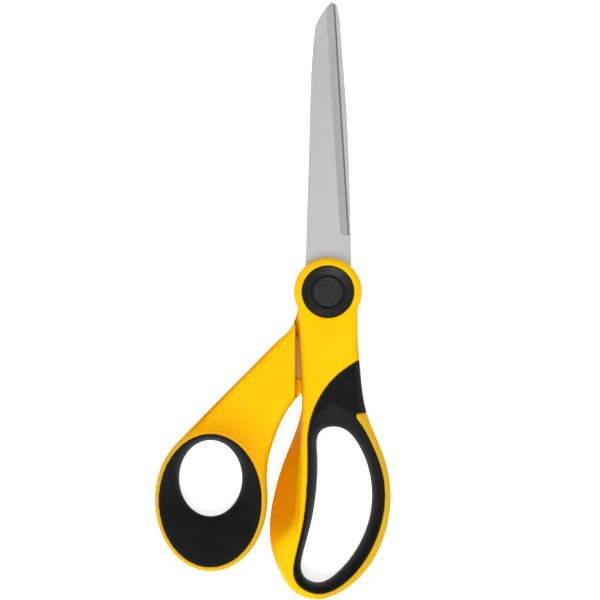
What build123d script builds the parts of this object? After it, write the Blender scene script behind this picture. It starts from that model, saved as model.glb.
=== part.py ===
from build123d import *
import math
import os

# Office scissors: two steel blades moulded into yellow handles with soft black grips, on one screw pivot.
#
# Millimetres. The scissors lie on their back, closed, with +Z up. The origin is on the pivot's axis, at the plane
# they rest on, and +Y runs to the tips. The finger half is in front, its loop at the lower right. The thumb half
# is behind, its loop at the lower left. The blades slide over each other on a plane half way up the handles.
# Each half is drawn from that plane, looking at its outer face: on FRONT, and on BACK, which is FRONT turned over
# about +Y. On both, the blade's spine is at -X, its cutting edge at +X, and heights are from the sliding plane.

HALF_DEPTH = 7.2  # from the sliding plane to the front and back faces
FRONT = Plane((0, 0, HALF_DEPTH), x_dir=(1, 0, 0), z_dir=(0, 0, 1))
BACK = Plane((0, 0, HALF_DEPTH), x_dir=(-1, 0, 0), z_dir=(0, 0, -1))
SECTION = Plane((0, 0, HALF_DEPTH), x_dir=(1, 0, 0), z_dir=(0, -1, 0))  # through the pivot, for round pieces

# Blades
STOCK = 1.8  # sheet thickness
BLADE_GAP = 0.05  # from the sliding plane to each blade's inner face
OUTER_FACE = BLADE_GAP + STOCK
GRIND_WIDTH = 3.35
GRIND_DEPTH = 1.1
EDGE_WIDTH = 0.6  # the fine bevel that cuts
EDGE_LEFT = 0.15  # thickness left at the edge itself
HOLLOW_DEPTH = 0.12  # of the relief ground into the inner face
GRIND_RUN_UP = 4.0  # how far the ground face starts beyond the tip
GRIND_RUN_OUT = 1.5  # and how far it carries on below the straight edge
GRIND_CORNER = 1.8
TIP_ROUND = 0.5
TIP_BOW = 0.45  # how far the cut from the spine to the tip bows outwards
TANG_ROUND = 3.6
TANG_HOLE_R = 2.0

# Handles
SKIN_GAP = 0.2  # from the sliding plane to the moulded inner faces
EDGE_ROUND = 1.7
BOSS_R = 12.35
FINGER_BOSS = (-28, 237)  # where each handle's outline leaves the boss, and the arc round to where it returns
THUMB_BOSS = (-25, 230)
STEP_X = -11.8  # the thumb handle is full depth left of this
STEP_Y = -9.8  # and below this
LOWER_LOOP_Y = -17.0  # the finger handle reaches behind the sliding plane below this
STOP_GAP = 0.15  # between the faces that stop the scissors closing
BOSS_CLEARANCE = 0.65
LEAN_Z = -3.0  # the finger handle's left flank is widest at this height
BACK_LEAN = 0.93
CUT_OVER = 1.0  # how far a cutting tool runs past the face it cuts

# Soft grips
GRIP_WALL = 2.0
GRIP_LAND = 0.8  # flat lip between a grip's seam and its opening
WAIST_Z = -1.0  # the height where both openings are narrowest
SKIN = 1.6  # soft skin over the hard shoulder of the finger handle, and the depth of the linings' lips

# Pivot
CAP_R = 9.4
CAP_SEAT_R = 9.5
CAP_SEAT_Z = 4.4
POCKET_R = 6.3  # room for the screw head and the nut
HEAD_R = 5.0
HEAD_HEIGHT = 1.6
SOCKET_R = 1.9
SOCKET_DEPTH = 1.0
NECK = 6.0  # square neck that keys the screw in the front blade
KEY_GAP = 0.05
SHOULDER_R = 2.5
THREAD_R = 2.0
RUNNING_GAP = 0.05
WASHER_R = 5.5
WASHER_THICKNESS = 0.8
NUT_ACROSS_FLATS = 8.0
NUT_HEIGHT = 2.4
THREAD_OVER = 0.2  # thread beyond the nut
NUT_FACE = OUTER_FACE + RUNNING_GAP + WASHER_THICKNESS
RING_INNER_R = 5.9
RING_TOP = 7.1
DISC_R = 5.5
DISC_FLANGE_R = 9.2
DISC_FLANGE = 0.5
DISC_TOP = 5.9
RING_LIP = 0.3
BACK_CAP_WALL = 1.4
BACK_CAP_ROUND = 0.6

# Blade outlines, each in its half's plane: up the spine to the tip, then the edge, then the heel down to the tang.
FRONT_SPINE = [(-8.1, 8.0), (-7.6, 27.4), (-6.65, 58.5), (-5.7, 84.7), (-4.5, 96.7)]
FRONT_TIP = (1.4, 105.4)
FRONT_EDGE = ((2.6, 104.4), (7.75, 22.0))
FRONT_HEEL = [(8.1, 20.5), (8.4, 10.1), (8.2, 0.0)]
FRONT_TANG = [(6.0, -10.0), (4.6, -31.0), (-4.6, -31.0), (-6.0, -10.0), (-8.1, 0.0)]
FRONT_TANG_HOLES = [(0.0, -17.0), (0.0, -24.5)]
BACK_SPINE = [(-8.5, 10.0), (-8.05, 34.3), (-7.3, 57.0), (-6.2, 74.4), (-4.6, 95.1)]
BACK_TIP = (-2.9, 105.3)
BACK_EDGE = ((-1.9, 104.2), (6.9, 22.0))
BACK_HEEL = [(7.4, 20.5), (8.2, 10.1), (8.2, 0.0)]
BACK_TANG = [(9.5, -12.0), (16.4, -29.0), (8.0, -32.6), (-0.5, -15.0), (-8.3, 0.0)]
BACK_TANG_HOLES = [(5.6, -17.4), (7.4, -25.2)]

# The thumb loop, as ellipses: centre, then half width and half height.
THUMB_LOOP = ((-42.3, -75.3), (20.4, 26.0))
THUMB_SEAM = ((-42.5, -75.4), (18.55, 24.05))
THUMB_WAIST = ((-42.6, -67.8), (11.5, 13.9))
THUMB_BACK = ((-42.5, -72.5), (16.2, 20.2))
THUMB_SHOULDER = [(-11.9, -10.0), (-15.3, -15.2), (-18.9, -18.4)]
THUMB_INNER = [(-21.6, -61.0), (-18.9, -51.8), (-13.7, -41.5), (-4.0, -31.5), (3.0, -23.0), (9.3, -12.5)]
THUMB_LOOP_ARC = {"start_angle": 130, "arc_size": 235}  # from where the straight arm meets the loop

# The finger handle's left side below the boss: x and y at the front face, then where the flank is widest.
FLANK = [
    (-10.3, -18.0, -10.3, -18.0),
    (-9.7, -31.0, -9.7, -31.0),
    (-9.4, -41.0, -9.4, -41.0),
    (-9.6, -50.0, -11.6, -50.5),
    (-9.8, -62.0, -16.3, -62.5),
    (-10.1, -73.0, -19.6, -74.0),
    (-11.2, -84.0, -21.2, -84.5),
    (-13.5, -94.0, -20.4, -94.0),
    (-14.3, -102.0, -17.4, -102.0),
    (-11.6, -108.2, -12.6, -108.6),
    (-3.4, -111.2, -3.4, -111.2),
]
FINGER_RIGHT = [
    (6.9, -107.4),
    (14.1, -100.7),
    (20.1, -89.6),
    (22.7, -76.3),
    (21.4, -63.3),
    (17.0, -51.4),
    (13.7, -42.5),
    (11.8, -29.5),
    (10.9, -18.0),
]

# The finger hole at its waist, anticlockwise from the left: x, y, and the distance out to the grip's seam.
FINGER_HOLE = [
    (-3.8, -60.0, 3.5),
    (-4.2, -72.0, 3.5),
    (-6.2, -84.5, 2.9),
    (-9.0, -95.0, 2.5),
    (-8.9, -103.4, 2.9),
    (-4.0, -105.8, 3.3),
    (3.6, -102.0, 4.0),
    (10.8, -93.0, 4.3),
    (15.4, -81.0, 4.4),
    (15.6, -68.0, 4.5),
    (11.0, -55.3, 4.5),
    (6.2, -50.1, 6.2),
    (1.2, -49.1, 8.9),
    (-2.8, -50.9, 4.4),
]

# The seam of the soft shoulder over the finger handle, from the right edge round to the left of the hole.
SHOULDER_SEAM = [(13.0, -23.8), (8.1, -26.5), (1.5, -31.9), (-3.5, -39.0), (-6.4, -46.5), (-7.3, -55.5)]
SHOULDER_CORNER = [(2.0, -62.0), (10.3, -50.0), (10.3, -44.1), (16.0, -43.4), (16.0, -23.0)]

# Outline of the relief on each blade's inner face, in the blade's plane.
FRONT_HOLLOW = [(-5.2, 28.0), (4.6, 28.0), (0.2, 94.0), (-3.2, 94.0)]
BACK_HOLLOW = [(-5.8, 28.0), (4.2, 28.0), (-1.8, 90.0), (-3.2, 90.0)]


def grown(points, reaches):
    """Move each point of a closed anticlockwise run outwards by its own reach."""
    moved = []
    for i, ((x, y), reach) in enumerate(zip(points, reaches)):
        ax, ay = points[i - 1]
        bx, by = points[(i + 1) % len(points)]
        length = math.hypot(bx - ax, by - ay)
        moved.append((x + reach * (by - ay) / length, y - reach * (bx - ax) / length))
    return moved


def rounded_sections():
    """Depth below the face, and inset, of each section of a rounded edge, from the face to the side."""
    sections = []
    for degrees in (0, 45, 90):
        turn = math.radians(degrees)
        sections.append((EDGE_ROUND * (1 - math.cos(turn)), EDGE_ROUND * (1 - math.sin(turn))))
    return sections


# ---- Blades ----


def draw_blade(spine, tip, edge, heel, tang):
    """Draw a blade's outline in the open line builder."""
    back = Spline(*spine)
    SagittaArc(back @ 1, tip, TIP_BOW)
    Line(tip, edge[0])
    Line(*edge)
    Polyline(edge[1], *heel, *tang, back @ 0)


def draw_grind(half, edge):
    """The space that the grinding wheel leaves along a cutting edge."""
    edge_tip = Vector(*edge[0], OUTER_FACE)
    edge_heel = Vector(*edge[1], OUTER_FACE)
    length = GRIND_RUN_UP + (edge_heel - edge_tip).length + GRIND_RUN_OUT
    to_heel = (edge_heel - edge_tip).normalized()
    start = edge_tip - to_heel * GRIND_RUN_UP
    outwards = Vector(-to_heel.Y, to_heel.X, 0)
    section_plane = half * Plane(start, x_dir=outwards, z_dir=to_heel)
    plan_plane = half * Plane(start, x_dir=outwards, z_dir=(0, 0, 1))
    with BuildPart() as wheel:
        with BuildSketch(section_plane):
            with BuildLine():
                Polyline(
                    (-GRIND_WIDTH, 0),
                    (-EDGE_WIDTH, -GRIND_DEPTH),
                    (0, EDGE_LEFT - STOCK),
                    (CUT_OVER, EDGE_LEFT - STOCK),
                    (CUT_OVER, CUT_OVER),
                    (-GRIND_WIDTH, CUT_OVER),
                    close=True,
                )
            make_face()
        extrude(amount=length)
        with BuildSketch(plan_plane) as plan:
            Rectangle(2 * GRIND_WIDTH, 2 * length)
            fillet(plan.vertices().sort_by(Axis.Y)[:2], GRIND_CORNER)
        extrude(amount=STOCK + CUT_OVER, both=True, mode=Mode.INTERSECT)
    return wheel.part


def make_blade(half, outline, pivot_hole, tang_holes, hollow):
    """A blade with its ground edge. pivot_hole is a function that cuts the hole in the open sketch."""
    grind = draw_grind(half, outline[2])
    with BuildPart() as blade:
        with BuildSketch(half.offset(BLADE_GAP)) as profile:
            with BuildLine():
                draw_blade(*outline)
            make_face()
            fillet(profile.vertices().group_by(Axis.Y)[0], TANG_ROUND)
            fillet(profile.vertices().group_by(Axis.Y)[-1], TIP_ROUND)
            pivot_hole()
            with Locations(*tang_holes):
                Circle(TANG_HOLE_R, mode=Mode.SUBTRACT)
        extrude(amount=STOCK)
        with BuildSketch(half.offset(BLADE_GAP)):
            with BuildLine():
                Polyline(*hollow, close=True)
            make_face()
        extrude(amount=HOLLOW_DEPTH, mode=Mode.SUBTRACT)
        add(grind, mode=Mode.SUBTRACT)
    return blade


def square_hole():
    """Key the screw's neck: the front blade turns with the screw."""
    Rectangle(NECK + 2 * KEY_GAP, NECK + 2 * KEY_GAP, mode=Mode.SUBTRACT)


def round_hole():
    """Let the back blade turn on the screw's shoulder."""
    Circle(SHOULDER_R + RUNNING_GAP, mode=Mode.SUBTRACT)


front_outline = (FRONT_SPINE, FRONT_TIP, FRONT_EDGE, FRONT_HEEL, FRONT_TANG)
front_blade = make_blade(FRONT, front_outline, square_hole, FRONT_TANG_HOLES, FRONT_HOLLOW)
front_blade.part.label = "front_blade"

back_outline = (BACK_SPINE, BACK_TIP, BACK_EDGE, BACK_HEEL, BACK_TANG)
back_blade = make_blade(BACK, back_outline, round_hole, BACK_TANG_HOLES, BACK_HOLLOW)
back_blade.part.label = "back_blade"


# ---- Handle bodies, before the grips are taken out of them ----


def draw_finger_outline(lean, inset):
    """Draw the finger handle in the open line builder. lean is 0 at the front face and 1 at the widest flank."""
    boss = CenterArc((0, 0), BOSS_R - inset, *FINGER_BOSS)
    left = [(x + (wide_x - x) * lean, y + (wide_y - y) * lean) for x, y, wide_x, wide_y in FLANK]
    run = [tuple(boss @ 1)[:2], *left, *FINGER_RIGHT, tuple(boss @ 0)[:2]]
    run = grown(run, [-inset] * len(run))
    Spline(boss @ 1, *run[1:-1], boss @ 0)


def draw_thumb_outline(inset):
    """Draw the thumb handle in the open line builder."""
    centre, (half_width, half_height) = THUMB_LOOP
    boss = CenterArc((0, 0), BOSS_R - inset, *THUMB_BOSS)
    loop = EllipticalCenterArc(centre, half_width - inset, half_height - inset, **THUMB_LOOP_ARC)
    upper = grown([tuple(boss @ 1)[:2], *THUMB_SHOULDER, tuple(loop @ 0)[:2]], [-inset] * (len(THUMB_SHOULDER) + 2))
    lower = grown([tuple(loop @ 1)[:2], *THUMB_INNER, tuple(boss @ 0)[:2]], [-inset] * (len(THUMB_INNER) + 2))
    shoulder = Spline(boss @ 1, *upper[1:-1], tangents=(boss % 1, loop % 0))
    Line(shoulder @ 1, loop @ 0)
    Spline(loop @ 1, *lower[1:-1], boss @ 0, tangents=(loop % 1, boss % 0))


with BuildPart() as finger_body:
    for depth, inset in rounded_sections():
        with BuildSketch(FRONT.offset(HALF_DEPTH - depth)):
            with BuildLine():
                draw_finger_outline(0, inset)
            make_face()
    with BuildSketch(FRONT.offset(LEAN_Z)):
        with BuildLine():
            draw_finger_outline(1, 0)
        make_face()
    for depth, inset in reversed(rounded_sections()):
        with BuildSketch(FRONT.offset(depth - HALF_DEPTH)):
            with BuildLine():
                draw_finger_outline(BACK_LEAN, inset)
            make_face()
    loft(ruled=True)
    # Behind the sliding plane, leave room for the thumb handle, closed, and for the boss as it turns.
    with BuildSketch(FRONT.offset(SKIN_GAP)):
        with BuildLine():
            draw_thumb_outline(-STOP_GAP)
        make_face()
        Circle(BOSS_R + BOSS_CLEARANCE)
        with Locations((0, LOWER_LOOP_Y)):
            Rectangle(4 * BOSS_R, 4 * BOSS_R, align=(Align.CENTER, Align.MIN))
    extrude(amount=-HALF_DEPTH - CUT_OVER, mode=Mode.SUBTRACT)

with BuildPart() as thumb_body:
    for depth, inset in rounded_sections():
        with BuildSketch(FRONT.offset(HALF_DEPTH - depth)):
            with BuildLine():
                draw_thumb_outline(inset)
            make_face()
    for depth, inset in reversed(rounded_sections()):
        with BuildSketch(FRONT.offset(depth - HALF_DEPTH)):
            with BuildLine():
                draw_thumb_outline(inset)
            make_face()
    loft(ruled=True)
    # In front of the sliding plane, the handle is left of the step and below it only.
    with BuildSketch(FRONT.offset(-SKIN_GAP)):
        with Locations((STEP_X, 0)):
            Rectangle(8 * BOSS_R, 8 * BOSS_R, align=(Align.MIN, Align.CENTER))
        with Locations((0, STEP_Y)):
            Rectangle(8 * BOSS_R, 8 * BOSS_R, align=(Align.CENTER, Align.MIN))
    extrude(amount=HALF_DEPTH + CUT_OVER, mode=Mode.SUBTRACT)


# ---- Soft grips: a lining through each loop, narrowest at its waist, and a shoulder over the finger handle ----


def draw_finger_hole(reaches):
    """Draw the finger hole in the open sketch, moved out at each point by its own reach."""
    with BuildLine() as outline:
        Spline(*grown([(x, y) for x, y, seam in FINGER_HOLE], reaches), periodic=True)
    make_face(outline.edges())


def draw_thumb_hole(hole, growth):
    """Draw one of the thumb loop's ellipses in the open sketch, larger by growth all round."""
    centre, (half_width, half_height) = hole
    with Locations(centre):
        Ellipse(half_width + growth, half_height + growth)


# A lining's outer surface has an upright lip at each face, and its opening runs smoothly from face to face.
LIP_HEIGHTS = (HALF_DEPTH + CUT_OVER, HALF_DEPTH - SKIN)
finger_seam = [seam for x, y, seam in FINGER_HOLE]
finger_mouth = [seam - GRIP_LAND for seam in finger_seam]

with BuildPart() as finger_lining:
    for height in LIP_HEIGHTS:
        with BuildSketch(FRONT.offset(height)):
            draw_finger_hole(finger_seam)
    with BuildSketch(FRONT.offset(WAIST_Z)):
        draw_finger_hole([GRIP_WALL] * len(FINGER_HOLE))
    for height in reversed(LIP_HEIGHTS):
        with BuildSketch(FRONT.offset(-height)):
            draw_finger_hole(finger_seam)
    loft(ruled=True)

with BuildPart() as finger_opening:
    with BuildSketch(FRONT.offset(HALF_DEPTH)):
        draw_finger_hole(finger_mouth)
    with BuildSketch(FRONT.offset(WAIST_Z)):
        draw_finger_hole([0] * len(FINGER_HOLE))
    with BuildSketch(FRONT.offset(-HALF_DEPTH)):
        draw_finger_hole(finger_mouth)
    loft()

with BuildPart() as thumb_lining:
    for height in LIP_HEIGHTS:
        with BuildSketch(FRONT.offset(height)):
            draw_thumb_hole(THUMB_SEAM, 0)
    with BuildSketch(FRONT.offset(WAIST_Z)):
        draw_thumb_hole(THUMB_WAIST, GRIP_WALL)
    for height in reversed(LIP_HEIGHTS):
        with BuildSketch(FRONT.offset(-height)):
            draw_thumb_hole(THUMB_BACK, GRIP_LAND)
    loft(ruled=True)

with BuildPart() as thumb_opening:
    with BuildSketch(FRONT.offset(HALF_DEPTH)):
        draw_thumb_hole(THUMB_SEAM, -GRIP_LAND)
    with BuildSketch(FRONT.offset(WAIST_Z)):
        draw_thumb_hole(THUMB_WAIST, 0)
    with BuildSketch(FRONT.offset(-HALF_DEPTH)):
        draw_thumb_hole(THUMB_BACK, 0)
    loft()

with BuildPart() as shoulder_core:
    # The hard plastic carries on under the soft shoulder.
    with BuildSketch(FRONT.offset(SKIN - HALF_DEPTH)):
        with BuildLine():
            draw_finger_outline(0, SKIN)
        make_face()
    extrude(amount=2 * (HALF_DEPTH - SKIN))
    add(finger_lining.part, mode=Mode.SUBTRACT)

with BuildPart() as finger_grip_room:
    with BuildSketch(FRONT.offset(-HALF_DEPTH - CUT_OVER)):
        with BuildLine():
            seam = Spline(*SHOULDER_SEAM)
            Polyline(seam @ 1, *SHOULDER_CORNER, seam @ 0)
        make_face()
    extrude(amount=2 * (HALF_DEPTH + CUT_OVER))
    add(shoulder_core.part, mode=Mode.SUBTRACT)
    add(finger_lining.part)

with BuildPart() as finger_grip:
    add(finger_body.part)
    add(finger_grip_room.part, mode=Mode.INTERSECT)
    add(finger_opening.part, mode=Mode.SUBTRACT)
    add(front_blade.part, mode=Mode.SUBTRACT)
finger_grip.part.label = "finger_grip"

with BuildPart() as thumb_grip:
    add(thumb_body.part)
    add(thumb_lining.part, mode=Mode.INTERSECT)
    add(thumb_opening.part, mode=Mode.SUBTRACT)
thumb_grip.part.label = "thumb_grip"


# ---- Handles: each moulded round its blade's tang, with the pivot's pocket and cap seat in its boss ----


def make_handle(body, grip_room, blade, half):
    """Cut the grip, the blade and the pivot's room out of a handle body."""
    with BuildPart() as handle:
        add(body)
        add(grip_room, mode=Mode.SUBTRACT)
        add(blade, mode=Mode.SUBTRACT)
        with BuildSketch(half):
            Circle(POCKET_R)
        extrude(amount=CAP_SEAT_Z, mode=Mode.SUBTRACT)
        with BuildSketch(half.offset(CAP_SEAT_Z)):
            Circle(CAP_SEAT_R)
        extrude(amount=HALF_DEPTH, mode=Mode.SUBTRACT)
    return handle


finger_handle = make_handle(finger_body.part, finger_grip_room.part, front_blade.part, FRONT)
finger_handle.part.label = "finger_handle"

thumb_handle = make_handle(thumb_body.part, thumb_lining.part, back_blade.part, BACK)
thumb_handle.part.label = "thumb_handle"


# ---- Pivot: the screw turns with the front blade, and the nut holds the washer against the back blade ----

with BuildPart() as pivot_screw:
    with BuildSketch(FRONT.offset(OUTER_FACE)):
        Circle(HEAD_R)
    extrude(amount=HEAD_HEIGHT)
    fillet(pivot_screw.edges().sort_by(Axis.Z)[-1], HEAD_HEIGHT / 2)
    with BuildSketch(FRONT.offset(OUTER_FACE + HEAD_HEIGHT)):
        RegularPolygon(SOCKET_R, 6)
    extrude(amount=-SOCKET_DEPTH, mode=Mode.SUBTRACT)
    with BuildSketch(FRONT.offset(OUTER_FACE)):
        Rectangle(NECK, NECK)
    extrude(amount=-STOCK)
    with BuildSketch(FRONT.offset(BLADE_GAP)):
        Circle(SHOULDER_R)
    extrude(amount=-BLADE_GAP - NUT_FACE)
    with BuildSketch(BACK.offset(NUT_FACE)):
        Circle(THREAD_R)
    extrude(amount=NUT_HEIGHT + THREAD_OVER)
pivot_screw.part.label = "pivot_screw"

with BuildPart() as friction_washer:
    with BuildSketch(BACK.offset(OUTER_FACE + RUNNING_GAP)):
        Circle(WASHER_R)
        Circle(SHOULDER_R + RUNNING_GAP, mode=Mode.SUBTRACT)
    extrude(amount=WASHER_THICKNESS)
friction_washer.part.label = "friction_washer"

with BuildPart() as pivot_nut:
    with BuildSketch(BACK.offset(NUT_FACE)):
        RegularPolygon(NUT_ACROSS_FLATS / 2, 6, major_radius=False)
        Circle(THREAD_R, mode=Mode.SUBTRACT)
    extrude(amount=NUT_HEIGHT)
pivot_nut.part.label = "pivot_nut"

# The front cap: a textured disc whose flange is held on the seat's ledge by a dished ring.
with BuildPart() as front_cap_disc:
    with BuildSketch(SECTION):
        with BuildLine():
            Polyline(
                (0, CAP_SEAT_Z),
                (DISC_FLANGE_R, CAP_SEAT_Z),
                (DISC_FLANGE_R, CAP_SEAT_Z + DISC_FLANGE),
                (DISC_R, CAP_SEAT_Z + DISC_FLANGE),
                (DISC_R, DISC_TOP),
                (0, DISC_TOP),
                close=True,
            )
        make_face()
    revolve(axis=Axis.Z)
    fillet(front_cap_disc.edges().sort_by(Axis.Z)[-1], DISC_FLANGE)
front_cap_disc.part.label = "front_cap_disc"

with BuildPart() as front_cap_ring:
    with BuildSketch(SECTION):
        with BuildLine():
            Polyline(
                (RING_INNER_R, CAP_SEAT_Z + DISC_FLANGE),
                (CAP_R, CAP_SEAT_Z + DISC_FLANGE),
                (CAP_R, RING_TOP - RING_LIP),
                (CAP_R - RING_LIP, RING_TOP),
                (RING_INNER_R + RING_LIP, DISC_TOP),
                (RING_INNER_R, DISC_TOP - RING_LIP),
                close=True,
            )
        make_face()
    revolve(axis=Axis.Z)
front_cap_ring.part.label = "front_cap_ring"

with BuildPart() as back_cap:
    with BuildSketch(BACK.offset(CAP_SEAT_Z)):
        Circle(CAP_R)
    extrude(amount=HALF_DEPTH - CAP_SEAT_Z)
    fillet(back_cap.edges().sort_by(Axis.Z)[0], BACK_CAP_ROUND)
    with BuildSketch(BACK.offset(CAP_SEAT_Z)):
        Circle(POCKET_R)
    extrude(amount=HALF_DEPTH - CAP_SEAT_Z - BACK_CAP_WALL, mode=Mode.SUBTRACT)
back_cap.part.label = "back_cap"


# ---- Hand-over ----

os.makedirs("parts", exist_ok=True)
export_step(front_blade.part, "parts/front_blade.step")
export_step(back_blade.part, "parts/back_blade.step")
export_step(finger_handle.part, "parts/finger_handle.step")
export_step(thumb_handle.part, "parts/thumb_handle.step")
export_step(finger_grip.part, "parts/finger_grip.step")
export_step(thumb_grip.part, "parts/thumb_grip.step")
export_step(pivot_screw.part, "parts/pivot_screw.step")
export_step(pivot_nut.part, "parts/pivot_nut.step")
export_step(friction_washer.part, "parts/friction_washer.step")
export_step(front_cap_ring.part, "parts/front_cap_ring.step")
export_step(front_cap_disc.part, "parts/front_cap_disc.step")
export_step(back_cap.part, "parts/back_cap.step")
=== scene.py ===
"""Office scissors: the looks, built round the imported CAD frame.

The blades and the pivot's pieces stay as the CAD made them and get their materials here. The two
handles and the two soft grips are remade as fine meshes from their CAD solids: corners rounded, faces
crowned, arms drawn in between the boss and the loop, a groove along the seams, and the flank rolled over
at the foot of the finger loop. Metres, in the CAD's frame: +Y to the tips, +Z to the viewer, and the
origin on the pivot's axis at the plane that the scissors rest on.
"""

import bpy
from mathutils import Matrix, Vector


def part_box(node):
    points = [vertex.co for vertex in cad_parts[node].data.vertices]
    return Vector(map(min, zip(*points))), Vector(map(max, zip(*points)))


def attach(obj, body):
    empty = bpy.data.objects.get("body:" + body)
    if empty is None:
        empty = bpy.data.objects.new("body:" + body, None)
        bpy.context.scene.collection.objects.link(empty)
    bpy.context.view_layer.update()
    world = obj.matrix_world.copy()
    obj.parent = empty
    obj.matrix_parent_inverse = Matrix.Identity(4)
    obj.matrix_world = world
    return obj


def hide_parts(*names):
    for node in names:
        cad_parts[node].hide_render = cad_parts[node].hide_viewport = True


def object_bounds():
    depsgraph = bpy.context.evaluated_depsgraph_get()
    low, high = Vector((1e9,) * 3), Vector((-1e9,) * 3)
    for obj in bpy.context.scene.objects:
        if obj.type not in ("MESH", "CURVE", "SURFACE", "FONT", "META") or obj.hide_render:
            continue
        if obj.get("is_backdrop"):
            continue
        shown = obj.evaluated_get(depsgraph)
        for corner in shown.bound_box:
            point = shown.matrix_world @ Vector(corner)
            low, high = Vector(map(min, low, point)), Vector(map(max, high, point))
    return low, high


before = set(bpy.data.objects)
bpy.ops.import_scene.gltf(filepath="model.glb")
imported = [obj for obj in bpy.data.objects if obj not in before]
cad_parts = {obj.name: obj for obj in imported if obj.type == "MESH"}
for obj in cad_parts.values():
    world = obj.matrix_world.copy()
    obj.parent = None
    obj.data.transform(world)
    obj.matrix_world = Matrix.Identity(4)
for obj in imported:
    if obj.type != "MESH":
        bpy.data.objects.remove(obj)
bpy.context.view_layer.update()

import math

import bpy
import numpy as np
from mathutils import Vector
from mathutils.bvhtree import BVHTree
from mathutils.kdtree import KDTree

MM = 0.001

# The fine meshes
VOXEL = 0.42 * MM
SMOOTH_STEPS = {"handle": 12, "grip": 7}
SMOOTH_PULL = 0.6  # each step's share of the way to the neighbours
SMOOTH_PUSH = -0.63  # and back, so that nothing shrinks
OUTLINE_STEP = 0.5 * MM
OUTLINE_MARGIN = 4  # steps
OUTLINE_SAMPLE = 0.3  # of a step, along the walls
WALL_SLOPE = 0.6  # a face is a wall when its normal's Z is under this

# The handles' relief
CROWN = 0.1  # how much lower the handles' faces are at their outline than inside it
CROWN_WIDTH = 3.5 * MM
WAIST = 0.13  # how much thinner the arms are, half way to the loops
WAIST_FROM = 12.5 * MM
WAIST_TO = 52.0 * MM
TROUGH = 0.3  # how much the thumb arm's face dips before it rises to the rim of the thumb opening
TROUGH_AT = 8.0 * MM  # from the rim
TOWARDS_ARM = (-0.05, 1.0)  # from the middle of the thumb loop
FOOT_ROUND = 5.0 * MM  # the finger loop's left flank rolls over with this radius at its foot
FLANK_DEPTH = 10.2 * MM  # from the front face down to the flank's widest place
FOOT_FROM = 80.0 * MM  # below the pivot
FOOT_TO = 93.0 * MM
FOOT_RIGHT = 4.0 * MM
FOOT_EDGE = 1.5 * MM  # the strip along the outline that always rolls with the flank
FACING_OUT = 0.05  # a point faces out when its normal leans inwards by less than this
SEAM_DROP = 0.05  # how much thinner the grips and the handles are where they meet
SEAM_WIDTH = 0.8 * MM

# Where painted shade darkens the yellow
TROUGH_SHADE = 16.0 * MM  # how far the painted shade reaches from the rim of the thumb opening
TOWARDS_SHADE = (0.45, 0.9)
ARM_SHADE = 0.12  # how much of it the whole thumb arm has
RIM_FROM = 2.4 * MM  # the loops' rims get painted shade: full up to this far from the outline
RIM_TO = 3.8 * MM
RIM_LEFT = -8.0 * MM  # the finger loop has its rim's painted shade right of here
RIM_TOP = -34.0 * MM  # and below here
RIM_FADE = 6.0 * MM
RIM_SHADED = (0.2, 0.8)  # and the thumb loop only outside the shade

# The stage
FLOOR_GLOW = 0.6  # the floor is a lit table
FLOOR_SPANS = 40
FLOOR_GAP = 0.02 * MM
ROOM_LOW = 0.12  # the room's brightness at the horizon
ROOM_HIGH = 0.72  # and overhead
ROOM_RISE = (0.05, 0.75)  # between these heights of a view direction
PIVOT_OFFSET = 10.1 * MM  # the view's centre is this far left of the pivot
LENS = 150.0
SENSOR = 36.0

low_corner, high_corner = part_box("thumb_handle")
face_height = high_corner[2]  # of the handles' front faces
middle_height = (low_corner[2] + high_corner[2]) / 2  # of the plane that the blades slide on


# ---- Materials ----

# Colours are linear red, green and blue. In the shaders, lengths are in millimetres.
YELLOW = ((0.955, 0.545, 0.001), (0.985, 0.59, 0.0012))
# painted shade: the thumb arm's face where it rises to its loop's rim, darker and more orange
YELLOW_PAINTED_SHADE = (0.84, 0.37, 0.0008)
# painted shade: the rounded rims of the loops, darker and duller
YELLOW_RIM_PAINTED_SHADE = (0.72, 0.42, 0.016)
# painted shade: deep orange on the finger loop's left flank
YELLOW_FLANK_PAINTED_SHADE = (0.63, 0.222, 0.0006)
FLANK_PAINTED_SHADE_DEPTHS = (0.9, 3.2)  # the flank's painted shade comes in between these depths below the front face
FLANK_FOOT = (-103.0, -80.0)  # and fades out between these distances along the handle
FLANK_SLOPE = ((0.0, 0.06), (0.8, 0.97))  # it is on slopes: the normal's Z, where it comes in and goes out
FLANK_DULL = 0.97  # how much less the flank mirrors
PARTING_WIDTH = 0.12
BLACK = ((0.004, 0.0042, 0.0045), (0.007, 0.0068, 0.007))
# painted light: greyer where the black curves up towards the lamps
BLACK_SLOPE_PAINTED_LIGHT = (0.0155, 0.0155, 0.016)
BLACK_UPPER = (-85.0, -62.0)  # the painted light on slopes comes in above this distance along the handle
CAP_GREY = ((0.009, 0.009, 0.0095), (0.012, 0.0118, 0.0115))
STIPPLE_GREY = ((0.007, 0.007, 0.0075), (0.021, 0.021, 0.0215))
STEEL = ((0.585, 0.585, 0.59), (0.63, 0.628, 0.626))
STEEL_BEVEL = (0.61, 0.61, 0.614)
# painted shade: the fine edge's steep facet
STEEL_EDGE_PAINTED_SHADE = (0.27, 0.27, 0.275)
STEEL_LINES = (0.34, 0.34, 0.35)
STEEL_TANG = ((0.5, 0.24, 0.09), (0.66, 0.36, 0.14))
TANG_FROM = (-14.0, -10.0)
ZINC = ((0.5, 0.51, 0.53), (0.6, 0.6, 0.6))
NYLON = ((0.7, 0.68, 0.62), (0.78, 0.77, 0.72))
FLOOR_PALE = ((0.93, 0.93, 0.93), (0.95, 0.95, 0.95))
WHITE = (1, 1, 1)
MIX_SOCKETS = {"factor": 0, "a": 6, "b": 7}  # a colour mix node's inputs
MIX_RESULT = 2


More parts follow.
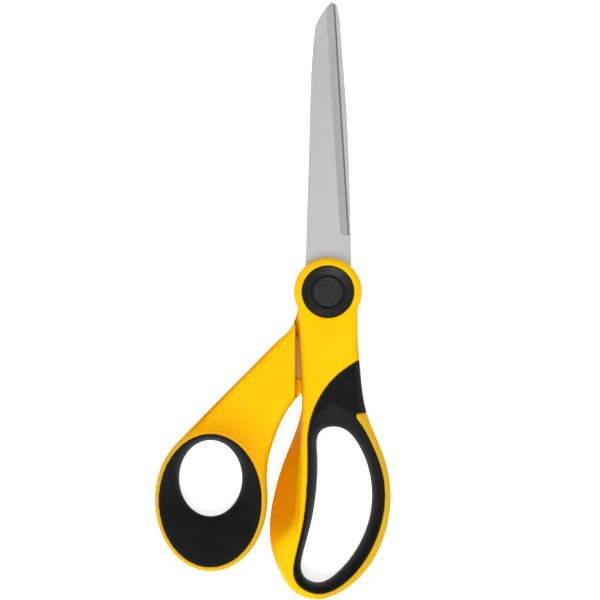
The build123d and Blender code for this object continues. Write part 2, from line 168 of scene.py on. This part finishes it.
class Shader:
    """A material under construction, with short calls for the nodes used here."""

    def __init__(self, name):
        self.material = bpy.data.materials.new(name)
        self.material.use_nodes = True
        self.tree = self.material.node_tree
        self.tree.nodes.clear()
        self.output = self.tree.nodes.new("ShaderNodeOutputMaterial")
        self.surface = self.tree.nodes.new("ShaderNodeBsdfPrincipled")
        self.link(self.surface.outputs["BSDF"], self.output.inputs["Surface"])
        self.place = self.tree.nodes.new("ShaderNodeTexCoord").outputs["Object"]

    def link(self, source, target):
        self.tree.links.new(source, target)

    def feed(self, socket, value):
        """Give a node's input a number, a colour, or another node's output."""
        if isinstance(value, bpy.types.NodeSocket):
            self.link(value, socket)
        elif isinstance(value, tuple) and len(socket.default_value) > len(value):
            socket.default_value = (*value, 1)
        else:
            socket.default_value = value

    def set(self, **values):
        """Set the surface's inputs by name."""
        for key, value in values.items():
            self.feed(self.surface.inputs[key.replace("_", " ")], value)

    def scaled(self, x=1, y=1, z=1, turn=0.0):
        """Object coordinates, in millimetres, stretched and turned about Z."""
        node = self.tree.nodes.new("ShaderNodeMapping")
        node.inputs["Scale"].default_value = (x / MM, y / MM, z / MM)
        node.inputs["Rotation"].default_value = (0, 0, turn)
        self.link(self.place, node.inputs["Vector"])
        return node.outputs["Vector"]

    def noise(self, vector, scale=1.0, detail=3.0, roughness=0.5):
        node = self.tree.nodes.new("ShaderNodeTexNoise")
        node.inputs["Scale"].default_value = scale
        node.inputs["Detail"].default_value = detail
        node.inputs["Roughness"].default_value = roughness
        self.link(vector, node.inputs["Vector"])
        return node.outputs["Fac"]

    def cells(self, vector, scale=1.0):
        node = self.tree.nodes.new("ShaderNodeTexVoronoi")
        node.inputs["Scale"].default_value = scale
        self.link(vector, node.inputs["Vector"])
        return node.outputs["Distance"]

    def range(self, value, low, high, to_low=0.0, to_high=1.0):
        node = self.tree.nodes.new("ShaderNodeMapRange")
        self.link(value, node.inputs["Value"])
        for key, number in (("From Min", low), ("From Max", high), ("To Min", to_low), ("To Max", to_high)):
            node.inputs[key].default_value = number
        return node.outputs["Result"]

    def mix(self, factor, a, b):
        """A colour between a and b."""
        node = self.tree.nodes.new("ShaderNodeMix")
        node.data_type = "RGBA"
        for key, value in (("factor", factor), ("a", a), ("b", b)):
            self.feed(node.inputs[MIX_SOCKETS[key]], value)
        return node.outputs[MIX_RESULT]

    def mottled(self, noise, colours):
        """A colour that wanders between two with the noise."""
        return self.mix(self.range(noise, 0.35, 0.65), *colours)

    def uneven(self, noise, low, high):
        """A number that wanders between two with the noise."""
        return self.range(noise, 0.3, 0.7, low, high)

    def maths(self, operation, a, b=0.0):
        node = self.tree.nodes.new("ShaderNodeMath")
        node.operation = operation
        self.feed(node.inputs[0], a)
        self.feed(node.inputs[1], b)
        return node.outputs[0]

    def attribute(self, name):
        """A number kept on the mesh's points."""
        node = self.tree.nodes.new("ShaderNodeAttribute")
        node.attribute_name = name
        return node.outputs["Fac"]

    def axis(self, vector, name):
        """One of a vector's coordinates."""
        split = self.tree.nodes.new("ShaderNodeSeparateXYZ")
        self.link(vector, split.inputs[0])
        return split.outputs[name]

    def normal_z(self):
        """The surface's own Z: 1 on a front face, 0 on a wall and -1 on a back face."""
        return self.axis(self.tree.nodes.new("ShaderNodeNewGeometry").outputs["Normal"], "Z")

    def height(self):
        """Height above the rest plane."""
        return self.axis(self.scaled(), "Z")

    def along(self):
        """Distance from the pivot towards the tips."""
        return self.axis(self.scaled(), "Y")

    def edges(self):
        """1 on outer corners and 0 elsewhere."""
        geometry = self.tree.nodes.new("ShaderNodeNewGeometry")
        return self.range(geometry.outputs["Pointiness"], 0.52, 0.6)

    def bump(self, height, strength, distance):
        node = self.tree.nodes.new("ShaderNodeBump")
        node.inputs["Strength"].default_value = strength
        node.inputs["Distance"].default_value = distance * MM
        self.link(height, node.inputs["Height"])
        self.link(node.outputs["Normal"], self.surface.inputs["Normal"])


def moulded_yellow():
    """Hard satin plastic: fine spark-eroded grain, faint flow marks, edges polished by handling, and painted
    shade on the thumb arm, the loops' rims and the finger loop's flank.
    """
    s = Shader("moulded_yellow")
    flow = s.noise(s.scaled(0.05, 0.02, 0.05), detail=4.0)
    front = s.range(s.normal_z(), 0.25, 0.65)
    lit = s.mottled(flow, YELLOW)
    # painted shade on the thumb arm, then on the loops' rims, on front faces only
    lit = s.mix(s.maths("MULTIPLY", front, s.attribute("painted_shade")), lit, YELLOW_PAINTED_SHADE)
    lit = s.mix(s.maths("MULTIPLY", front, s.attribute("rim_painted_shade")), lit, YELLOW_RIM_PAINTED_SHADE)
    # painted shade: the finger loop's flank, deep below the front face and on slopes, turns deep orange and
    # mirrors less
    least, most = (face_height / MM - depth for depth in FLANK_PAINTED_SHADE_DEPTHS)
    depth = s.range(s.height(), most, least, 1.0, 0.0)
    depth = s.maths("MULTIPLY", depth, s.range(s.along(), *FLANK_FOOT))
    begins, ends = FLANK_SLOPE
    slope = s.maths("MULTIPLY", s.range(s.normal_z(), *begins), s.range(s.normal_z(), *ends, 1.0, 0.0))
    flank_painted_shade = s.maths("MULTIPLY", depth, slope)
    s.set(Base_Color=s.mix(flank_painted_shade, lit, YELLOW_FLANK_PAINTED_SHADE))
    shine = s.range(s.normal_z(), 0.3, 0.9, 0.3, 0.04)
    dulled = s.maths("SUBTRACT", 1.0, s.maths("MULTIPLY", flank_painted_shade, FLANK_DULL))
    s.set(Specular_IOR_Level=s.maths("MULTIPLY", shine, dulled))
    grain = s.noise(s.scaled(), scale=5.0, detail=4.0, roughness=0.6)
    polish = s.maths("MULTIPLY", s.edges(), 0.1)
    s.set(Roughness=s.maths("SUBTRACT", s.uneven(grain, 0.33, 0.46), polish))
    s.set(Subsurface_Weight=0.12, Subsurface_Radius=(1.0, 0.45, 0.1), Subsurface_Scale=1.2 * MM)
    from_parting = s.maths("ABSOLUTE", s.maths("SUBTRACT", s.height(), middle_height / MM))
    parting = s.range(from_parting, 0.0, PARTING_WIDTH, 1.5, 0.0)
    s.bump(s.maths("ADD", grain, parting), 0.12, 0.04)
    return s.material


def soft_black():
    """Soft overmoulded plastic: matte, finely textured, with painted light making it slightly greyer where
    it curves up.
    """
    s = Shader("soft_black")
    cloud = s.noise(s.scaled(0.12, 0.12, 0.12), detail=5.0)
    # painted light on the slopes
    slope = s.range(s.normal_z(), 0.9, 0.985, 1.0, 0.0)
    slope_painted_light = s.maths("MULTIPLY", slope, s.range(s.along(), *BLACK_UPPER))
    s.set(Base_Color=s.mix(slope_painted_light, s.mottled(cloud, BLACK), BLACK_SLOPE_PAINTED_LIGHT))
    grain = s.noise(s.scaled(), scale=4.0, detail=5.0, roughness=0.65)
    s.set(Roughness=s.uneven(grain, 0.48, 0.66))
    s.set(Specular_IOR_Level=s.range(s.normal_z(), 0.3, 0.95, 0.07, 0.09))
    s.set(Sheen_Weight=0.03, Sheen_Roughness=0.5, Sheen_Tint=(0.7, 0.7, 0.72))
    s.bump(grain, 0.25, 0.06)
    return s.material


def cap_plastic():
    """Hard dark grey plastic, lightly etched."""
    s = Shader("cap_plastic")
    s.set(Base_Color=s.mottled(s.noise(s.scaled(0.3, 0.3, 0.3), detail=4.0), CAP_GREY))
    grain = s.noise(s.scaled(), scale=6.0)
    s.set(Roughness=s.uneven(grain, 0.36, 0.5), Specular_IOR_Level=0.2)
    s.bump(grain, 0.15, 0.04)
    return s.material


def stippled_plastic():
    """The cap's centre: the same plastic with a coarse leathery texture."""
    s = Shader("stippled_plastic")
    cell = s.cells(s.scaled(), 1.3)
    pit = s.noise(s.scaled(), scale=2.2, detail=4.0, roughness=0.6)
    height = s.maths("ADD", s.maths("MULTIPLY", cell, 0.8), pit)
    s.set(Base_Color=s.mix(s.range(height, 0.5, 1.2), *STIPPLE_GREY))
    s.set(Roughness=s.uneven(pit, 0.42, 0.6), Specular_IOR_Level=0.25)
    s.bump(height, 0.5, 0.18)
    return s.material


def ground_steel():
    """Stainless sheet: satin lines along the blade, cross-ground bevel, painted shade on the fine edge,
    coppery tang.
    """
    s = Shader("ground_steel")
    steepness = s.maths("ABSOLUTE", s.normal_z())
    flat = s.range(steepness, 0.95, 0.985)
    lengthways = s.noise(s.scaled(9.0, 0.09, 9.0), roughness=0.6)
    crossways = s.noise(s.scaled(0.12, 7.0, 0.12, 0.06), roughness=0.6)
    on_face = s.maths("MULTIPLY", flat, lengthways)
    on_bevel = s.maths("MULTIPLY", s.maths("SUBTRACT", 1.0, flat), crossways)
    lines = s.maths("ADD", on_face, on_bevel)
    cloud = s.noise(s.scaled(0.06, 0.03, 0.06), detail=5.0)
    edge_painted_shade = s.range(steepness, 0.8, 0.87, 1.0, 0.0)
    tone = s.mix(flat, s.mix(edge_painted_shade, STEEL_BEVEL, STEEL_EDGE_PAINTED_SHADE), s.mottled(cloud, STEEL))
    drawn = s.mix(s.range(lines, 0.25, 0.75, 0.0, 0.16), tone, STEEL_LINES)
    tang = s.range(s.along(), *TANG_FROM, 1.0, 0.0)
    s.set(Base_Color=s.mix(tang, drawn, s.mix(cloud, *STEEL_TANG)))
    s.set(Metallic=1.0, Roughness=s.range(lines, 0.25, 0.75, 0.3, 0.44))
    s.bump(lines, 0.12, 0.02)
    return s.material


def plated_steel():
    """Bright zinc on the screw and nut."""
    s = Shader("plated_steel")
    cloud = s.noise(s.scaled(0.8, 0.8, 0.8), detail=4.0)
    s.set(Base_Color=s.mottled(cloud, ZINC))
    s.set(Metallic=1.0, Roughness=s.uneven(cloud, 0.25, 0.4))
    s.bump(s.noise(s.scaled(), scale=8.0, detail=2.0), 0.08, 0.02)
    return s.material


def nylon():
    """The natural nylon washer."""
    s = Shader("nylon")
    cloud = s.noise(s.scaled(0.5, 0.5, 0.5))
    s.set(Base_Color=s.mix(cloud, *NYLON))
    s.set(Roughness=s.uneven(cloud, 0.4, 0.5), Subsurface_Weight=0.3, Subsurface_Scale=1.0 * MM)
    s.bump(s.noise(s.scaled(), scale=6.0), 0.08, 0.03)
    return s.material


def pale_floor():
    """A pale lit table."""
    s = Shader("pale_floor")
    cloud = s.noise(s.scaled(0.004, 0.004, 0.004))
    s.set(Base_Color=s.mix(cloud, *FLOOR_PALE), Roughness=0.7)
    s.set(Specular_IOR_Level=0.1, Emission_Color=WHITE, Emission_Strength=FLOOR_GLOW)
    return s.material


# ---- Fine meshes from the CAD solids ----


def corners(name):
    """A CAD node's lowest and highest corners."""
    low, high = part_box(name)
    return np.array(low), np.array(high)


def arrays(mesh):
    """A mesh's points, and its triangles as rows of point numbers."""
    mesh.calc_loop_triangles()
    points = np.empty(len(mesh.vertices) * 3)
    mesh.vertices.foreach_get("co", points)
    triangles = np.empty(len(mesh.loop_triangles) * 3, dtype=np.int32)
    mesh.loop_triangles.foreach_get("vertices", triangles)
    return points.reshape(-1, 3), triangles.reshape(-1, 3)


def ray_tree(points, triangles):
    """A tree of triangles, to find what a ray hits or which place is nearest."""
    return BVHTree.FromPolygons([Vector(p) for p in points], [tuple(t) for t in triangles.tolist()])


def remeshed(node, name):
    """A new object: the CAD node's solid as an even mesh of small squares."""
    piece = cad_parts[node].copy()
    piece.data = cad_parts[node].data.copy()
    piece.name = name
    piece.data.name = name
    piece.parent = None
    bpy.context.scene.collection.objects.link(piece)
    remesh = piece.modifiers.new("even", "REMESH")
    remesh.mode = "VOXEL"
    remesh.voxel_size = VOXEL
    evaluated = piece.evaluated_get(bpy.context.evaluated_depsgraph_get())
    mesh = bpy.data.meshes.new_from_object(evaluated)
    piece.modifiers.clear()
    piece.data = mesh
    mesh.name = name
    return piece


def smoothed(points, edges, steps):
    """Round a mesh's corners without shrinking it: each step pulls points to their neighbours, then back."""
    count = np.bincount(edges.ravel(), minlength=len(points)).astype(float)[:, None]
    count[count == 0] = 1
    for _ in range(steps):
        for share in (SMOOTH_PULL, SMOOTH_PUSH):
            total = np.zeros_like(points)
            for axis in range(3):
                total[:, axis] += np.bincount(edges[:, 0], points[edges[:, 1], axis], len(points))
                total[:, axis] += np.bincount(edges[:, 1], points[edges[:, 0], axis], len(points))
            points = points + share * (total / count - points)
    return points


class Outline:
    """The outline of one half seen from the front: distance() is how far inside it a point is."""

    def __init__(self, nodes):
        meshes = [arrays(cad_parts[node].data) for node in nodes]
        starts = np.cumsum([0] + [len(points) for points, _ in meshes])
        points = np.concatenate([points for points, _ in meshes])
        triangles = np.concatenate([t + start for (_, t), start in zip(meshes, starts)])
        self.low = points.min(0)[:2] - OUTLINE_MARGIN * OUTLINE_STEP
        high = points.max(0)[:2] + OUTLINE_MARGIN * OUTLINE_STEP
        size = np.ceil((high - self.low) / OUTLINE_STEP).astype(int) + 1
        outside = self.reached_from_edge(self.covered(ray_tree(points, triangles), size))
        samples = self.wall_samples(points, triangles, outside)
        self.tree = KDTree(len(samples))
        for i, (x, y) in enumerate(samples):
            self.tree.insert(Vector((x, y, 0)), i)
        self.tree.balance()

    def covered(self, tree, size):
        """Which cells of the grid have some of the half under them."""
        covered = np.zeros(size, dtype=bool)
        for i in range(size[0]):
            for j in range(size[1]):
                x, y = self.low + np.array((i, j)) * OUTLINE_STEP
                covered[i, j] = tree.ray_cast(Vector((x, y, 1.0)), Vector((0, 0, -1)))[0] is not None
        return covered

    def reached_from_edge(self, covered):
        """Which bare cells are joined to the grid's edge, and so are not in an opening."""
        outside = np.zeros(covered.shape, dtype=bool)
        outside[0, :] = True
        while True:
            grown = outside.copy()
            grown[1:] |= outside[:-1]
            grown[:-1] |= outside[1:]
            grown[:, 1:] |= outside[:, :-1]
            grown[:, :-1] |= outside[:, 1:]
            grown &= ~covered
            if (grown == outside).all():
                return outside
            outside = grown

    def wall_samples(self, points, triangles, outside):
        """Close-set places along the walls that face the outside."""
        a, b, c = (points[triangles[:, k]] for k in range(3))
        normal = np.cross(b - a, c - a)
        normal /= np.linalg.norm(normal, axis=1)[:, None] + 1e-12
        wall = np.abs(normal[:, 2]) < WALL_SLOPE
        ahead = (a + b + c)[:, :2] / 3 + normal[:, :2] * 2 * OUTLINE_STEP
        last_cell = np.array(outside.shape) - 1
        cell = np.clip(np.rint((ahead - self.low) / OUTLINE_STEP).astype(int), 0, last_cell)
        wall &= outside[cell[:, 0], cell[:, 1]]
        samples = []
        for first, last in ((a, b), (b, c), (c, a)):
            span = np.linalg.norm((last - first)[wall][:, :2], axis=1)
            for p, q, length in zip(first[wall], last[wall], span):
                for t in np.linspace(0, 1, max(2, int(length / (OUTLINE_SAMPLE * OUTLINE_STEP)))):
                    samples.append((p + (q - p) * t)[:2])
        return np.unique(np.round(np.array(samples), 6), axis=0)

    def distance(self, points):
        return np.array([self.tree.find(Vector((x, y, 0)))[2] for x, y in points[:, :2]])

    def inwards(self, points):
        """The direction, seen from the front, from the nearest place on the outline to each point."""
        nearest = np.array([self.tree.find(Vector((x, y, 0)))[0][:2] for x, y in points[:, :2]])
        away = points[:, :2] - nearest
        return away / (np.linalg.norm(away, axis=1)[:, None] + 1e-9)


def step(value, low, high):
    """0 below low, 1 above high, and smooth between."""
    t = np.clip((value - low) / (high - low), 0, 1)
    return t * t * (3 - 2 * t)


def relief(points, outline):
    """The handle's thickness at each point, as a share of the CAD's: crowned, and drawn in at the arm."""
    inside = outline.distance(points)
    crown = 1 - CROWN * (1 - np.clip(inside / CROWN_WIDTH, 0, 1)) ** 2
    reach = np.hypot(points[:, 0], points[:, 1])
    along = np.clip((reach - WAIST_FROM) / (WAIST_TO - WAIST_FROM), 0, 1)
    return crown * (1 - WAIST * np.sin(math.pi * along) ** 2)


def thumb_trough(points):
    """The thumb arm's dip: the share of thickness left, the share of painted shade on the yellow, and the
    share of the rim's painted shade.
    """
    low, high = corners("thumb_grip")
    centre = (low + high)[:2] / 2
    radii = (high - low)[:2] / 2
    away = (points[:, :2] - centre) / radii
    reach = np.linalg.norm(away, axis=1)
    outside = np.maximum(reach - 1, 0) * radii.mean()
    heading = away / np.maximum(reach, 0.01)[:, None]
    towards_arm = np.clip(heading @ np.array(TOWARDS_ARM), 0, 1) ** 2 * (points[:, 2] > middle_height)
    dip = outside / TROUGH_AT * np.exp(1 - outside / TROUGH_AT)
    towards_shade = np.clip(heading @ np.array(TOWARDS_SHADE), 0, 1)
    painted_shade = ARM_SHADE + (1 - ARM_SHADE) * towards_shade * np.clip(1 - outside / TROUGH_SHADE, 0, 1)
    loop = (1 - step(outside, RIM_TO, 2 * RIM_TO)) * (1 - step(towards_shade, *RIM_SHADED))
    return 1 - TROUGH * dip * towards_arm, painted_shade, loop


def seam_groove(points, neighbour):
    """The thickness at each point, as a share: both plastics sink into a fine groove along their seam."""
    tree = ray_tree(*arrays(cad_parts[neighbour].data))
    gap = np.array([tree.find_nearest(Vector(p))[3] for p in points])
    return 1 - SEAM_DROP * (1 - step(gap, 0, SEAM_WIDTH))


def roll_foot(points, normals, outline):
    """Lift the finger loop's left flank into a rounded rim near its foot."""
    depth = face_height - points[:, 2]
    full = 2 * (face_height - middle_height)
    upper = FOOT_ROUND * (1 - np.sqrt(1 - np.clip(depth / FLANK_DEPTH, 0, 1) ** 2))
    lower = full - (full - depth) * (full - FOOT_ROUND) / (full - FLANK_DEPTH)
    rolled = np.where(depth < FLANK_DEPTH, upper, lower)
    share = step(-points[:, 1], FOOT_FROM, FOOT_TO) * step(FOOT_RIGHT - points[:, 0], 0, 2 * FOOT_ROUND)
    outer = (normals[:, :2] * outline.inwards(points)).sum(1) < FACING_OUT
    share *= outer | (outline.distance(points) < FOOT_EDGE)
    points = points.copy()
    points[:, 2] -= share * (rolled - depth)
    return points


def keep_on_points(mesh, name, values):
    """Keep a number on each of a mesh's points, for its material."""
    mesh.attributes.new(name, "FLOAT", "POINT").data.foreach_set("value", values)


def make_piece(node, neighbour, body, outline, shape=None, foot=False):
    """Remake one CAD solid as a fine piece with rounded corners and the handles' relief."""
    piece = remeshed(node, node + "_moulded")
    mesh = piece.data
    points, _ = arrays(mesh)
    edges = np.empty(len(mesh.edges) * 2, dtype=np.int32)
    mesh.edges.foreach_get("vertices", edges)
    if foot:
        normals = np.empty(len(mesh.vertices) * 3)
        mesh.vertices.foreach_get("normal", normals)
        points = roll_foot(points, normals.reshape(-1, 3), outline)
    points = smoothed(points, edges.reshape(-1, 2), SMOOTH_STEPS[node.split("_")[1]])
    thickness = relief(points, outline) * seam_groove(points, neighbour)
    # painted shade on the loops' rims, kept on the points for the material
    rim_painted_shade = 1 - step(outline.distance(points), RIM_FROM, RIM_TO)
    rim_painted_shade *= step(RIM_TOP - points[:, 1], 0, RIM_FADE)
    if shape:
        share, painted_shade, loop = shape(points)
        thickness *= share
        rim_painted_shade *= loop
        keep_on_points(mesh, "painted_shade", painted_shade)
    else:
        rim_painted_shade *= step(points[:, 0], RIM_LEFT, 0)
    keep_on_points(mesh, "rim_painted_shade", rim_painted_shade)
    points[:, 2] = middle_height + (points[:, 2] - middle_height) * thickness
    mesh.vertices.foreach_set("co", points.ravel())
    mesh.polygons.foreach_set("use_smooth", [True] * len(mesh.polygons))
    mesh.update()
    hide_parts(node)
    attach(piece, body)
    return piece


finger_outline = Outline(("finger_handle", "finger_grip"))
thumb_outline = Outline(("thumb_handle", "thumb_grip"))

pieces = {
    "finger_handle": make_piece("finger_handle", "finger_grip", "finger_half", finger_outline, foot=True),
    "finger_grip": make_piece("finger_grip", "finger_handle", "finger_half", finger_outline, foot=True),
    "thumb_handle": make_piece("thumb_handle", "thumb_grip", "thumb_half", thumb_outline, thumb_trough),
    "thumb_grip": make_piece("thumb_grip", "thumb_handle", "thumb_half", thumb_outline, thumb_trough),
}


# ---- Finish ----

for slot, material in (("handle", moulded_yellow()), ("grip", soft_black())):
    for loop_name in ("finger", "thumb"):
        piece = pieces[loop_name + "_" + slot]
        piece.data.materials.clear()
        piece.data.materials.append(material)

cad_finishes = {
    ground_steel(): ("front_blade", "back_blade"),
    cap_plastic(): ("front_cap_ring", "back_cap"),
    stippled_plastic(): ("front_cap_disc",),
    plated_steel(): ("pivot_screw", "pivot_nut"),
    nylon(): ("friction_washer",),
}
for material, nodes in cad_finishes.items():
    for node in nodes:
        for material_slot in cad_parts[node].material_slots:
            material_slot.material = material


# ---- Stage ----

low, high = (Vector(corner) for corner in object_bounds())
middle = (low + high) / 2
span = high.y - low.y

floor_place = (middle.x, middle.y, low.z - FLOOR_GAP)
bpy.ops.mesh.primitive_plane_add(size=FLOOR_SPANS * span, location=floor_place)
floor = bpy.context.object
floor.name = "floor"
floor.data.materials.append(pale_floor())
floor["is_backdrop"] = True

world = bpy.data.worlds.new("soft_room")
world.use_nodes = True
background = world.node_tree.nodes["Background"]
background.inputs["Color"].default_value = (*WHITE, 1)
direction = world.node_tree.nodes.new("ShaderNodeTexCoord")
upwards = world.node_tree.nodes.new("ShaderNodeSeparateXYZ")
fall = world.node_tree.nodes.new("ShaderNodeMapRange")
fall.interpolation_type = "SMOOTHSTEP"
fall.inputs["From Min"].default_value, fall.inputs["From Max"].default_value = ROOM_RISE
fall.inputs["To Min"].default_value = ROOM_LOW
fall.inputs["To Max"].default_value = ROOM_HIGH
world.node_tree.links.new(direction.outputs["Generated"], upwards.inputs[0])
world.node_tree.links.new(upwards.outputs["Z"], fall.inputs["Value"])
world.node_tree.links.new(fall.outputs["Result"], background.inputs["Strength"])
bpy.context.scene.world = world


def softbox(name, place, size, power):
    """A square lamp at place, in spans from the middle, facing the middle."""
    lamp = bpy.data.lights.new(name, "AREA")
    lamp.size = size * span
    lamp.energy = power
    holder = bpy.data.objects.new(name, lamp)
    holder.location = middle + Vector(place) * span
    holder.rotation_euler = (middle - holder.location).to_track_quat("-Z", "Y").to_euler()
    bpy.context.scene.collection.objects.link(holder)


softbox("key", place=(-0.5, -1.9, 2.8), size=1.6, power=3.0)
softbox("fill", place=(0.8, 2.2, 2.8), size=2.0, power=0.8)

camera_data = bpy.data.cameras.new("camera")
camera_data.lens = LENS
camera_data.sensor_width = SENSOR
camera = bpy.data.objects.new("camera", camera_data)
camera.location = (-PIVOT_OFFSET, middle.y, high.z + span * LENS / SENSOR)
bpy.context.scene.collection.objects.link(camera)
bpy.context.scene.camera = camera
bpy.context.scene.view_settings.view_transform = "Standard"
